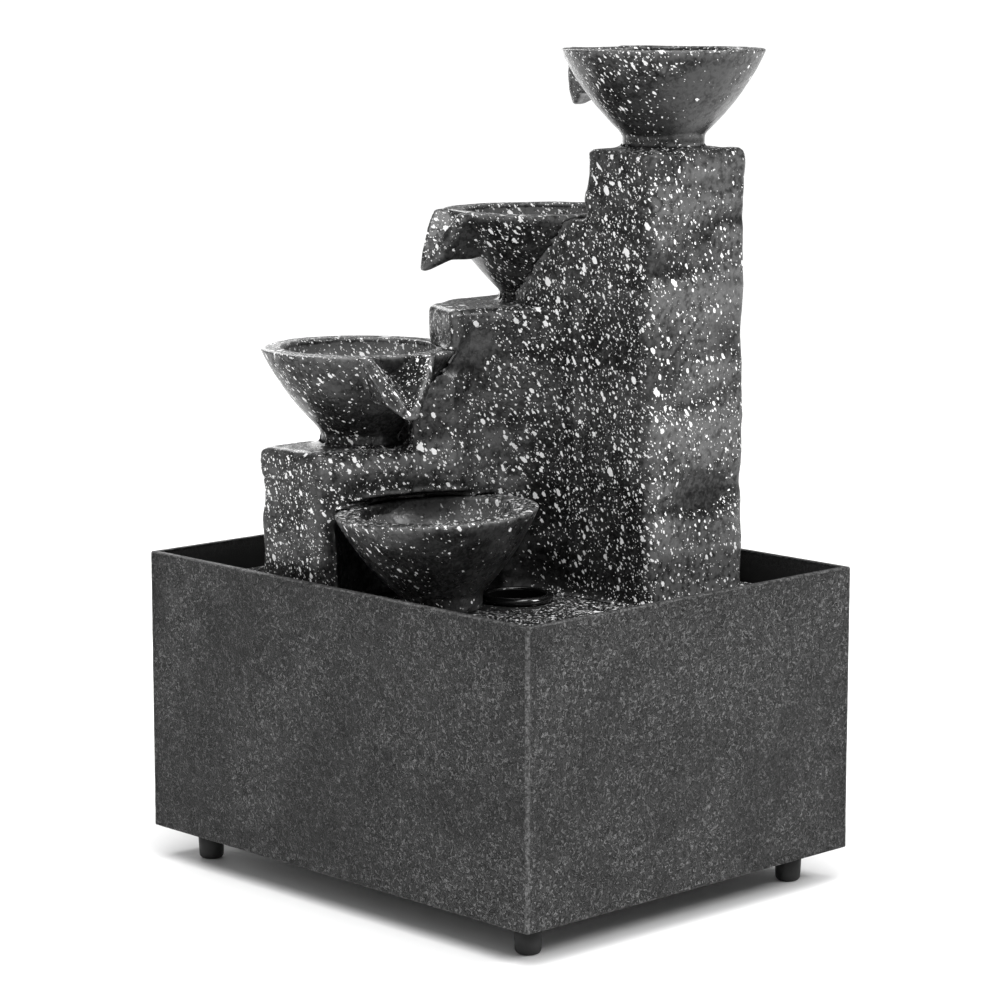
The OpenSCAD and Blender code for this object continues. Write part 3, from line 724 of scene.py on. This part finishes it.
def basin_profile(low, high, wall, floor):
    """(inset from the outer face, height, edge wear and painted edge highlight, inside) up the outside
    and down the inside.
    """
    edge, lip = 0.5 * MM, 0.7 * MM
    arc = [math.radians(a) for a in (0, 30, 60, 90)]
    rows = [(edge - edge * math.sin(a), low + edge - edge * math.cos(a), 0.6, 0.0) for a in arc]
    rise = high - low - edge - lip
    steps = round(rise / (1.7 * MM))
    rows += [(0.0, low + edge + rise * i / steps, 0.0, 0.0) for i in range(1, steps)]
    rows += [(0.0, high - lip, 0.25, 0.0)]
    rows += [(lip - lip * math.cos(a), high - lip + lip * math.sin(a), 1.0, 0.0) for a in arc[1:]]
    rows += [
        (wall - lip + lip * math.sin(a), high - lip + lip * math.cos(a), 0.7, 0.3 * i)
        for i, a in enumerate(arc)
    ]
    inner_steps = 14
    fillet = BASIN_INNER_CORNER
    for i in range(1, inner_steps):
        rows.append((wall, high - lip - (high - lip - floor - fillet) * i / inner_steps, 0.0, 1.0))
    rows += [
        (wall + fillet - fillet * math.cos(a), floor + fillet - fillet * math.sin(a), 0.0, 1.0)
        for a in arc
    ]
    return rows


def build_basin():
    low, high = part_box("basin")
    rows = basin_profile(low.z, high.z, BASIN_WALL, low.z + BASIN_WALL)
    steps = [round(2 * half / BASIN_PITCH) for half in (high.y, high.x)]
    points, faces, wear_and_highlight, inside = [], [], [], []
    for inset, height, wear_and_painted_light, within in rows:
        outer_radius = max(BASIN_CORNER - inset, 0.35 * MM)
        radius = outer_radius if inset < BASIN_WALL else BASIN_INNER_CORNER
        ring, near = rounded_ring(high.x - inset, high.y - inset, radius, steps)
        points += [(p.x, p.y, height) for p in ring]
        wear_and_highlight += [max(wear_and_painted_light, n * (1 - within)) for n in near]
        inside += [within] * len(ring)
    count = len(ring)
    for row in range(len(rows) - 1):
        for i in range(count):
            a, b = row * count + i, row * count + (i + 1) % count
            faces.append((a, b, b + count, a + count))
    top = (len(rows) - 1) * count
    faces.append(tuple(reversed(range(count))))
    faces.append(tuple(range(top, top + count)))
    basin = new_piece("slate_basin", points, faces, "basin", "slate_look_shell", ("basin",))
    # edges painted lighter by the slate material: rubbed wear and a painted edge highlight
    paint(basin, "edge", wear_and_highlight)
    paint(basin, "inside", inside)
    relief(basin, np.array(inside), np.array(wear_and_highlight))
    cut_cord_hole(basin)


def relief(basin, inside, wear_and_highlight):
    """Presses the slate's slanting veins into the outer faces, never out past the CAD walls."""
    points, normals = points_of(basin), normals_of(basin)
    skew = points @ np.array([[0.8, 0, 0.4], [0, 0.8, 0.4], [-0.5, -0.5, 1.0]])
    veins = layered_noise(skew * (0.5, 0.5, 1.0), 17 * MM, 31, 4)
    ridged = np.abs(veins)
    depth = 0.42 * MM * np.clip(ridged, 0, 1) + 0.12 * MM * (1 + value_noise(points, 4 * MM, 9))
    on_wall = (inside < 0.05) * (np.abs(normals[:, 2]) < 0.5) * (1 - 0.75 * np.clip(wear_and_highlight, 0, 1))
    move_points(basin, points - normals * (depth * on_wall)[:, None])


def cut_cord_hole(basin):
    """Opens the rear wall for the grommet, whose flanges hide the cut."""
    low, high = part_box("cord_grommet")
    middle = (low + high) / 2
    radius = (high.z - low.z) / 2 - 0.3 * MM
    mesh = bpy.data.meshes.new("cord_cut")
    cut = bmesh.new()
    turn = Matrix.Translation(middle) @ Matrix.Rotation(math.pi / 2, 4, "X")
    bmesh.ops.create_cone(
        cut, segments=48, radius1=radius, radius2=radius, depth=14 * MM, cap_ends=True, matrix=turn
    )
    cut.to_mesh(mesh)
    cut.free()
    cutter = bpy.data.objects.new("cord_cut", mesh)
    bpy.context.scene.collection.objects.link(cutter)
    hole = basin.modifiers.new("cord_hole", "BOOLEAN")
    hole.operation = "DIFFERENCE"
    hole.solver = "EXACT"
    hole.object = cutter
    bpy.context.view_layer.update()
    made = bpy.data.meshes.new_from_object(
        basin.evaluated_get(bpy.context.evaluated_depsgraph_get())
    )
    basin.modifiers.clear()
    basin.data = made
    bpy.data.objects.remove(cutter)


# ---------- small turned pieces ----------


def build_feet():
    for node in FEET:
        low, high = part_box(node)
        radius = (high.x - low.x) / 2
        tread = radius - 0.5 * MM
        edge = 1.6 * MM
        profile = [(0.0, 0.5 * MM), (tread - 2.2 * edge, 0.5 * MM), (tread - 1.9 * edge, 0.0)]
        profile += [
            (tread - edge + edge * math.sin(math.radians(a)), edge - edge * math.cos(math.radians(a)))
            for a in range(0, 91, 15)
        ]
        profile += [(radius, high.z - 0.02 * MM), (0.0, high.z - 0.02 * MM)]
        lathe("rubber_" + node, profile, (low + high) / 2, BODY_OF[node], SLOT_OF[node], (node,))


def build_drain_ring():
    low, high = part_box("drain_ring")
    deck_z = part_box("deck_plate")[1].z
    outer = (high.x - low.x) / 2
    lip = (high.z - deck_z) / 2
    tube = outer - lip
    bore = tube - DRAIN_WALL
    profile = [(bore, low.z), (tube, low.z), (tube, deck_z)]
    profile += [
        (tube + lip * math.sin(a), deck_z + lip - lip * math.cos(a))
        for a in np.linspace(0, math.pi, 13)
    ]
    bend = (tube - bore) * 0.6
    profile += [(bore + bend - bend * math.sin(a), high.z - bend + bend * math.cos(a))
                for a in np.linspace(0.2, math.pi / 2, 5)]
    profile += [(bore, deck_z), (bore, low.z + 0.001 * MM)]
    lathe(
        "gloss_drain_ring", profile, (low + high) / 2, "cascade", "gloss_black_plastic",
        ("drain_ring",), 96,
    )


def build_ledges():
    """Corner posts inside the basin that the deck rests on."""
    low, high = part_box("basin")
    deck_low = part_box("deck_plate")[0].z
    made = bmesh.new()
    foot_z = low.z + BASIN_WALL - LEDGE_ROOT
    inset = BASIN_WALL - LEDGE_ROOT + LEDGE / 2
    for sx, sy in itertools.product((-1, 1), repeat=2):
        middle = Vector((sx * (high.x - inset), sy * (high.y - inset), (foot_z + deck_low) / 2))
        scale = Matrix.Diagonal((LEDGE, LEDGE, deck_low - foot_z, 1))
        bmesh.ops.create_cube(made, size=1, matrix=Matrix.Translation(middle) @ scale)
    upright = [e for e in made.edges if abs((e.verts[0].co - e.verts[1].co).normalized().z) > 0.9]
    bmesh.ops.bevel(
        made, geom=upright, offset=BASIN_INNER_CORNER, segments=4, affect="EDGES", profile=0.5
    )
    mesh = bpy.data.meshes.new("deck_ledges")
    made.to_mesh(mesh)
    made.free()
    ledges = bpy.data.objects.new("deck_ledges", mesh)
    bpy.context.scene.collection.objects.link(ledges)
    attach(ledges, "basin")
    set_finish(ledges, "slate_look_shell")
    # the ledges are painted as dark as the inside: painted shade
    paint(ledges, "inside", [1.0] * len(mesh.vertices))


# ---------- the studio ----------


def area_light(name, place, target, size, power):
    data = bpy.data.lights.new(name, "AREA")
    data.shape = "RECTANGLE"
    data.size, data.size_y = size
    data.energy = power
    light = bpy.data.objects.new(name, data)
    bpy.context.scene.collection.objects.link(light)
    light.location = place
    light.rotation_euler = (Vector(target) - Vector(place)).to_track_quat("-Z", "Y").to_euler()


def build_studio():
    middle = (0, 0, (cad_low.z + cad_high.z) / 2)
    area_light("key_right", (1.15, 0.5, 1.05), middle, (0.5, 0.5), 15)
    area_light("front", (-0.2, -1.3, 0.9), middle, (0.5, 0.9), 2.6)
    area_light("rim_left", (-1.2, 0.6, 0.6), middle, (0.5, 1.2), 6)
    data = bpy.data.lights.new("overhead", "SUN")
    data.energy = 3.2
    data.angle = math.radians(50)
    overhead = bpy.data.objects.new("overhead", data)
    bpy.context.scene.collection.objects.link(overhead)
    overhead.rotation_euler = (math.radians(14), math.radians(10), 0)
    world = bpy.data.worlds.new("studio")
    world.use_nodes = True
    tree = world.node_tree
    path = tree.nodes.new("ShaderNodeLightPath")
    glow = tree.nodes.new("ShaderNodeMapRange")
    glow.inputs[3].default_value = 0.27
    glow.inputs[4].default_value = 1.1
    tree.links.new(path.outputs["Is Camera Ray"], glow.inputs[0])
    tree.links.new(glow.outputs[0], tree.nodes["Background"].inputs[1])
    tree.nodes["Background"].inputs[0].default_value = (1, 1, 1, 1)
    bpy.context.scene.world = world

    mesh = bpy.data.meshes.new("floor")
    reach = 6.0
    corners = [(-reach, -reach, 0), (reach, -reach, 0), (reach, reach, 0), (-reach, reach, 0)]
    mesh.from_pydata(corners, [], [(0, 1, 2, 3)])
    floor = bpy.data.objects.new("floor", mesh)
    bpy.context.scene.collection.objects.link(floor)
    paper = Look("pale_paper", Roughness=0.9)
    paper.set("Base Color", paper.mix(paper.noise(60, 2), grey(0.9), grey(0.93)))
    floor.data.materials.append(paper.material)
    floor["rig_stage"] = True

    data = bpy.data.cameras.new("camera")
    data.lens = CAMERA_LENS
    data.sensor_width = 36
    data.clip_end = 50
    camera = bpy.data.objects.new("camera", data)
    bpy.context.scene.collection.objects.link(camera)
    camera.location = CAMERA_PLACE
    camera.rotation_euler = Vector(CAMERA_GAZE).to_track_quat("-Z", "Y").to_euler()
    bpy.context.scene.camera = camera
    bpy.context.scene.view_settings.view_transform = "Standard"


# ---------- the fountain ----------


def build_fountain():
    looks = build_materials()
    rock = [
        cast_rockwork(),
        cast_deck(),
        cast_bowl("top_bowl", -48),
        cast_bowl("second_bowl"),
        cast_bowl("third_bowl"),
        cast_bowl("lower_bowl", -72),
    ]
    spray(rock)
    build_basin()
    build_feet()
    build_drain_ring()
    build_ledges()
    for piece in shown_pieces():
        slot = piece.get("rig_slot") or SLOT_OF[piece.name]
        piece.data.materials.clear()
        piece.data.materials.append(looks[slot])


build_studio()
build_fountain()
